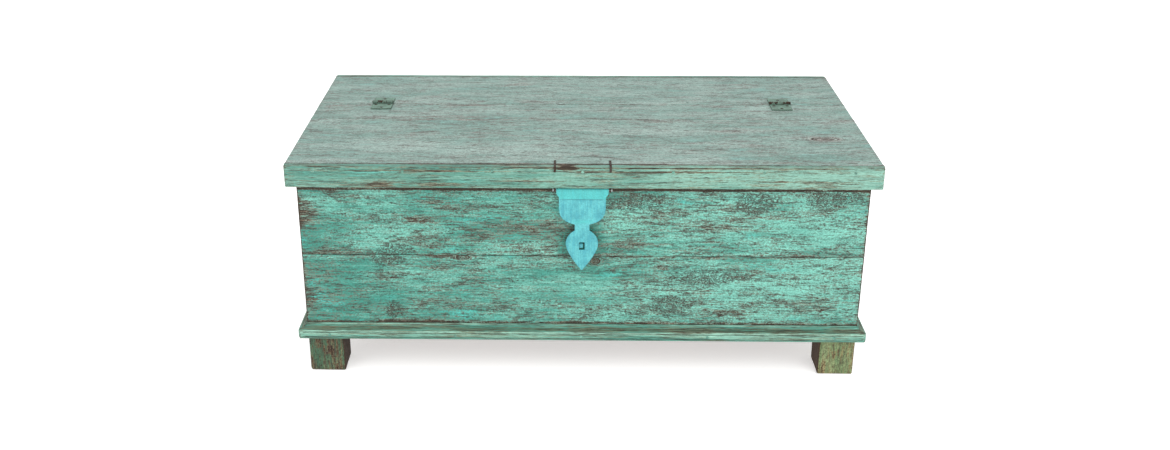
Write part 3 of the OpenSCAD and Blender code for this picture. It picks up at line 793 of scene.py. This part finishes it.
# Half the width and depth over the mouldings, and the radius of their corners, as seen from above.
BASE_HALF = np.array([box_mm("base_moulding_right")[1][X], box_mm("base_moulding_back")[1][Y]])
BASE_CORNER_R = 10.0
EVERYWHERE = 4000.0                  # a mark's reach, when it acts along the whole piece


def moulding_reach(h, height, out):
    """How far the moulding stands out from the wall at a height above its underside."""
    from_edge = np.clip(np.maximum(EASE - h, h - (NOSE - EASE)), 0, EASE)
    nose = out - EASE + np.sqrt(EASE**2 - from_edge**2)
    cove = out - EASE - np.sqrt(np.clip(COVE**2 - (height - h) ** 2, 0, None))
    return np.where(h <= NOSE, nose, cove)


def moulding(node, along):
    """One length of base moulding, with its ends cut to 45 degrees."""
    low, high = box_mm(node)
    thick = Y if along == X else X
    outward = 1 if low[thick] + high[thick] > 0 else -1
    wall, out, height = (low if outward > 0 else high)[thick], (high - low)[thick], (high - low)[Z]
    almost_square = 1.57             # the end of an eased edge, just short of a right angle
    curve = EASE * (1 - np.cos(np.linspace(0, almost_square, 5)))
    rises = np.unique(np.concatenate([curve, NOSE - curve, np.linspace(EASE, NOSE - EASE, 5),
                                      np.linspace(NOSE + 0.05, height, 9)]))
    length = (high - low)[along]
    places = [None, None, low[Z] + rises]
    places[along] = np.arange(low[along], high[along] + 1, length / round(length / 6))
    places[thick] = np.linspace(low[thick], high[thick], 4)
    points, quads = shell(*places)

    h = points[:, Z] - low[Z]
    depth = np.abs(points[:, thick] - wall) / out * moulding_reach(h, height, out)
    half = length / 2
    share = (points[:, along] - low[along]) / half - 1
    shaped = points.copy()
    shaped[:, thick] = wall + outward * depth
    shaped[:, along] = low[along] + half + share * (half - out + depth)
    shaped = round_corners(shaped, BASE_HALF, BASE_CORNER_R)

    # Wear runs along the top and the underside of the nose, but not over the face against the wall.
    far = 20.0
    gaps = np.stack([np.zeros(len(h)), np.minimum(np.abs(h - NOSE), h + 1), np.full(len(h), far)], -1)
    gaps[depth < 1, 1] = far

    # Painted light: a painted highlight along the nose's upper edge, and painted shade under the nose and in
    # the cove above it, where a little paint is also worn off.
    nose_top = low[Z] + NOSE
    marks = [Mark("pale", (0, 0, nose_top - 5.5), (EVERYWHERE, EVERYWHERE, 4.5), 0.7),
             Mark("pale", (0, 0, nose_top + 2.0), (EVERYWHERE, EVERYWHERE, 4.0), -1.3),
             Mark("pale", (0, 0, low[Z]), (EVERYWHERE, EVERYWHERE, 6.0), -0.5),
             Mark("worn", (0, 0, nose_top + 1.5), (EVERYWHERE, EVERYWHERE, 3.0), 0.2)]
    thing = weather(node + "_wood", shaped, quads, gaps, (along, Z, thick), seed_of(node), marks=marks,
                    relief=0.25, edge_wear=0.15)
    place_piece(thing, "moulding", "carcass", node)


def build_mouldings():
    """The moulding's four lengths, round the foot of the walls."""
    for side, along in (("front", X), ("back", X), ("left", Y), ("right", Y)):
        moulding(f"base_moulding_{side}", along)


build_walls()
build_top()
build_feet()
build_frame()
build_mouldings()

# ---------------------------------------------------------------- hardware


def shade_smooth_group():
    """A node group that shades a whole mesh smooth, for use as a modifier."""
    group = bpy.data.node_groups.new("shade_smooth", "GeometryNodeTree")
    for direction in ("INPUT", "OUTPUT"):
        group.interface.new_socket("Geometry", in_out=direction, socket_type="NodeSocketGeometry")
    start = group.nodes.new("NodeGroupInput")
    shade = group.nodes.new("GeometryNodeSetShadeSmooth")
    end = group.nodes.new("NodeGroupOutput")
    group.links.new(start.outputs[0], shade.inputs["Geometry"])
    group.links.new(shade.outputs[0], end.inputs[0])
    return group


SHADE_SMOOTH = shade_smooth_group()


def soften(thing, width_mm):
    """Rounds a metal part's sharp edges and shades it smooth, with modifiers alone."""
    bevel = thing.modifiers.new("worn_edges", "BEVEL")
    bevel.width = width_mm * MM
    bevel.segments = 2
    bevel.limit_method = "ANGLE"
    bevel.angle_limit = math.radians(40)
    thing.modifiers.new("smooth_shading", "NODES").node_group = SHADE_SMOOTH


HASP = joint("hasp_swing")["pos_m"]  # a point on the hasp's axis

# The hasp's sizes. A drop is a distance below the axis.
BARREL_R, BARREL_HALF = 4.4, 52.5    # radius and half the length of the rolled barrel
ROLL_WALL, ROLL_ROWS = 1.9, 26       # thickness of the roll, and how many rows go round it
SHEET, WALL_GAP = 2.2, 13.0          # thickness of the plate, and its distance from the wall
EAR, SHOULDER = 6.0, 15.0            # drops between which the plate narrows to its body
CREASE = 18.0                        # drop of the bend across the plate
BODY_HALF, NECK_HALF = 47.3, 15.0    # half widths of the body and the neck
BODY_LOW, BODY_DROP = 36.5, 37.5     # drop where the body starts to round in, and how far down it goes
SPADE, SPADE_R, SPADE_DROP = 116.5, 33.0, 57.0     # drop of the spade's centre, its radius, length to its tip
KICK, KICK_OUT = 144.0, 4.5          # drop from which the tip bends out, and how far it does
SLOT, SLOT_HALF_W, SLOT_HALF_H = 121.0, 5.7, 8.5   # drop of the slot's centre, half its width and height
SLOT_SHARE = 0.34                    # where the slot's sides lie, counted from -1 to 1 across the plate


def hasp_half_width(drop):
    """Half the plate's width at a distance below the axis: shoulders, rounded body, neck and spade."""
    ear = BARREL_HALF - (BARREL_HALF - BODY_HALF) * smooth(drop, EAR, SHOULDER)
    round_in = np.clip((drop - BODY_LOW) / BODY_DROP, 0, 1)
    body = np.maximum(BODY_HALF * (1 - round_in**2.4) ** (1 / 2.4), NECK_HALF)
    arc = np.sqrt(np.clip(SPADE_R**2 - (drop - SPADE) ** 2, 0, None))
    point = SPADE_R * (1 - np.clip((drop - SPADE) / SPADE_DROP, 0, 0.99) ** 1.6)
    spade = np.where(drop < SPADE, np.maximum(arc, NECK_HALF), point)
    return np.where(drop < BODY_LOW, ear, np.where(drop < SPADE - SPADE_R, body, spade))


def hasp_rows():
    """The plate's side view, row by row: (y, z) of the outer face, of the inner face, and the half width.

    It starts at the end of the roll, goes over the pin to the front, and down to the tip.
    """
    rows = []
    for turn in np.linspace(math.radians(255), 0, ROLL_ROWS):
        way = np.array([-math.cos(turn), math.sin(turn)])
        rows.append((BARREL_R * way, (BARREL_R - ROLL_WALL) * way, BARREL_HALF))
    flat = FRONT - HASP[Y] / MM - WALL_GAP - SHEET
    low_edge, high_edge = SLOT - SLOT_HALF_H, SLOT + SLOT_HALF_H
    drops = np.concatenate([np.arange(2, low_edge - 0.6, 1.1), np.linspace(low_edge, high_edge, 11),
                            np.arange(high_edge + 1.4, SPADE + SPADE_DROP - 0.6, 1.4)])
    bends = [0, CREASE, KICK, SPADE + SPADE_DROP]
    for drop in drops:
        y = np.interp(drop, bends, [-BARREL_R, flat, flat, flat - KICK_OUT])
        rows.append((np.array([y, -drop]), np.array([y + SHEET, -drop]), float(hasp_half_width(drop))))
    return rows


def hasp_dents(x, z, near_edge):
    """One row of the plate, at z from the axis: how far it is pushed in, its stain and its paleness.

    The stain is painted shade in the crease and the dimple, a dark scratch, and darker edges low down. The
    paleness is a painted highlight on the upturned flange and on a fold.
    """
    across = np.abs(x)
    bow = 0.35 * noise(np.stack([x / 17, np.full(len(x), z / 17), np.zeros(len(x))], -1), 4)
    dimple = 0.9 * np.exp(-((x - 1) ** 2 + (z + 83) ** 2) / 9)
    rib = -0.6 * smooth(across, 8, 6) * smooth(-z, 20, 24) * smooth(-z, 72, 68)
    fold = -0.9 * np.exp(-((z + 69) / 2.5) ** 2) * smooth(across, 17, 13)
    scratch = 0.6 * np.exp(-(np.hypot(x - 45, z + 36) - 15) ** 2 / 0.5) * (x < 43) * (z < -37)
    groove = 1.0 * np.exp(-((z + CREASE + 1.5) / 1.1) ** 2)
    push = (bow + dimple + rib + fold + scratch + groove) * (z < -CREASE)

    # Painted shade: a dark line in the crease, and darker in the dimple below it.
    crease_shade = 0.8 * np.exp(-((z + CREASE + 1.0) / 0.9) ** 2) * smooth(across, 46, 40)
    stain = crease_shade + scratch + 0.5 * dimple + 0.25 * near_edge * (z < -30)
    # Painted highlights: the flange above the crease, which leans up to the light, and a fold across the
    # neck.
    fold_highlight = 0.7 * np.exp(-((z + 67) / 5) ** 2) * smooth(across, 30, 10)
    pale = 0.9 * smooth(z, -CREASE - 1, -CREASE) + fold_highlight
    return push, stain, pale


def sheet_faces(rows, columns, is_hole):
    """Faces of a sheet with an outer and an inner layer of points, closed along its borders and its hole."""
    def at(layer, row, column):
        return (layer * rows + row) * columns + column

    solid = [(r, c) for r in range(rows - 1) for c in range(columns - 1) if not is_hole(r, c)]
    faces = [[at(0, r, c), at(0, r + 1, c), at(0, r + 1, c + 1), at(0, r, c + 1)] for r, c in solid]
    faces += [[at(1, r, c), at(1, r, c + 1), at(1, r + 1, c + 1), at(1, r + 1, c)] for r, c in solid]

    # Narrow faces close the sheet along edges with a face on one side only. A dict keeps the edges in order.
    borders = {}
    for face in faces[:len(solid)]:
        for a, b in zip(face, face[1:] + face[:1]):
            borders[(a, b)] = True
    layer = rows * columns
    faces += [[b, a, a + layer, b + layer] for a, b in borders if (b, a) not in borders]
    return faces


def build_hasp():
    """The hasp: one sheet, rolled round its pin at the top, with a slot for the tongue."""
    rows = hasp_rows()
    centre = np.array([0.0, HASP[Y] / MM, HASP[Z] / MM])
    inside = np.linspace(-SLOT_SHARE, SLOT_SHARE, 7)[1:-1]
    share = np.concatenate([np.linspace(-1, -SLOT_SHARE, 12), inside, np.linspace(SLOT_SHARE, 1, 12)])
    columns = len(share)
    outer, inner, stains, pales = [], [], [], []
    for face, back, half in rows:
        middle = min(SLOT_HALF_W, SLOT_SHARE * half)
        x = np.interp(share, [-1, -SLOT_SHARE, SLOT_SHARE, 1], [-half, -middle, middle, half])
        near_edge = np.exp(-(half - np.abs(x)) / 1.2)
        push, stain, pale = hasp_dents(x, face[1], near_edge)
        outer.append(np.stack([x, face[0] + push + 0.25 * near_edge, np.full(columns, face[1])], -1))
        inner.append(np.stack([x, back[0] + push, np.full(columns, back[1])], -1))
        stains.append(stain)
        pales.append(pale)
    points = np.concatenate([np.concatenate(outer), np.concatenate(inner)]) + centre
    drops = [-face[1] for face, back, half in rows]

    def in_slot(row, column):
        beside = abs(share[column] + share[column + 1]) < 2 * SLOT_SHARE
        level = abs(drops[row] + drops[row + 1] - 2 * SLOT) < 2 * SLOT_HALF_H
        return row >= ROLL_ROWS and beside and level

    thing = make_mesh("hasp_sheet", points, sheet_faces(len(rows), columns, in_slot))
    set_attribute(thing, "stain", np.tile(np.concatenate(stains), 2))
    set_attribute(thing, "pale", np.tile(np.concatenate(pales), 2))
    soften(thing, 0.5)
    place_piece(thing, "hasp", "hasp", "hasp_plate")


build_hasp()

# Look and width of the rounded edges, for the CAD nodes that stay.
NODE_LOOKS = {
    "lock_tongue": ("hasp", 0.6),
    "hasp_hinge_pin": ("glinting_iron", 0.4),
    "hasp_split_pin_left": ("dark_iron", 0.3),
    "hasp_split_pin_right": ("dark_iron", 0.3),
    "hinge_screws_fixed": ("dark_iron", 0.2),
    "hinge_screws_lid": ("dark_iron", 0.2),
    "batten_screws": ("dark_iron", 0.2),
    "foot_screws": ("dark_iron", 0.2),
    "floor_nails": ("dark_iron", 0.3),
    "wall_nails": ("wall_dots", 0.3),
    "moulding_nails": ("lip_dots", 0.3),
    "lid_nails": ("lip_dots", 0.3),
    "fixed_top_nails": ("top_dots", 0.3),
}
for side, part in itertools.product(("left", "right"), ("lid_leaf", "fixed_leaf", "pin")):
    NODE_LOOKS[f"hinge_{side}_{part}"] = ("iron", 0.4)


def dress_nodes():
    """Gives each CAD node that stays its material and its rounded edges."""
    for node, (look, width) in NODE_LOOKS.items():
        thing = frame["nodes"][node]
        thing.data.materials.clear()
        thing.data.materials.append(looks[look])
        soften(thing, width)


dress_nodes()

# ---------------------------------------------------------------- stage


def build_floor():
    """A wide, pale, plain floor."""
    k = Look("pale_floor")
    place = k.node("TexCoord", {}).outputs["Object"]
    cloud = k.noise(place, (0.6, 0.6, 0.6), 3, 0.5)
    base = k.mix(cloud, colour(244, 244, 243), colour(248, 248, 248))
    normal = k.bump(k.noise(place, (0.01, 0.01, 0.01), 2, 0.5), 0.05)
    half = 12000.0
    corners = [[-half, -half, 0], [half, -half, 0], [half, half, 0], [-half, half, 0]]
    ground = make_mesh("floor", corners, [[0, 1, 2, 3]], False)
    ground.data.materials.append(k.finish(base, 0.7, normal, specular=0.1, glow=0.5))


def area_light(name, place, target, size, power):
    """A soft square light that points at a target."""
    lamp = bpy.data.lights.new(name, "AREA")
    lamp.size = size
    lamp.energy = power
    thing = bpy.data.objects.new(name, lamp)
    bpy.context.scene.collection.objects.link(thing)
    thing.location = place
    thing.rotation_euler = (Vector(target) - Vector(place)).to_track_quat("-Z", "Y").to_euler()


def build_light():
    """A bright, even studio: white surroundings, one large soft key light and a weaker fill."""
    scene = bpy.context.scene
    world = bpy.data.worlds.new("studio")
    world.use_nodes = True
    world.node_tree.nodes["Background"].inputs["Color"].default_value = (1, 1, 1, 1)
    world.node_tree.nodes["Background"].inputs["Strength"].default_value = 1.0
    scene.world = world
    scene.view_settings.view_transform = "Standard"
    chest_middle = (0, 0, 0.25)
    area_light("key", (1.7, -2.6, 3.0), chest_middle, 2.2, 40)
    area_light("fill", (-2.4, -2.2, 1.8), chest_middle, 2.2, 14)


def build_camera():
    """The camera, in front of the chest and above it. Its angles are in radians, and pitch turns it down."""
    scene = bpy.context.scene
    lens = bpy.data.cameras.new("camera")
    lens.sensor_width = 36.0
    lens.lens = 38.7
    lens.shift_x, lens.shift_y = 0.0418, -0.0095
    camera = bpy.data.objects.new("camera", lens)
    scene.collection.objects.link(camera)
    camera.location = (-0.0357, -2.6666, 1.351)
    pitch, yaw, roll = 0.3945, -0.0245, -0.0041
    level = math.cos(pitch)
    forward = Vector((math.sin(yaw) * level, math.cos(yaw) * level, -math.sin(pitch)))
    camera.rotation_mode = "QUATERNION"
    camera.rotation_quaternion = forward.to_track_quat("-Z", "Y") @ Quaternion((0, 0, 1), roll)
    scene.camera = camera


build_floor()
build_light()
build_camera()
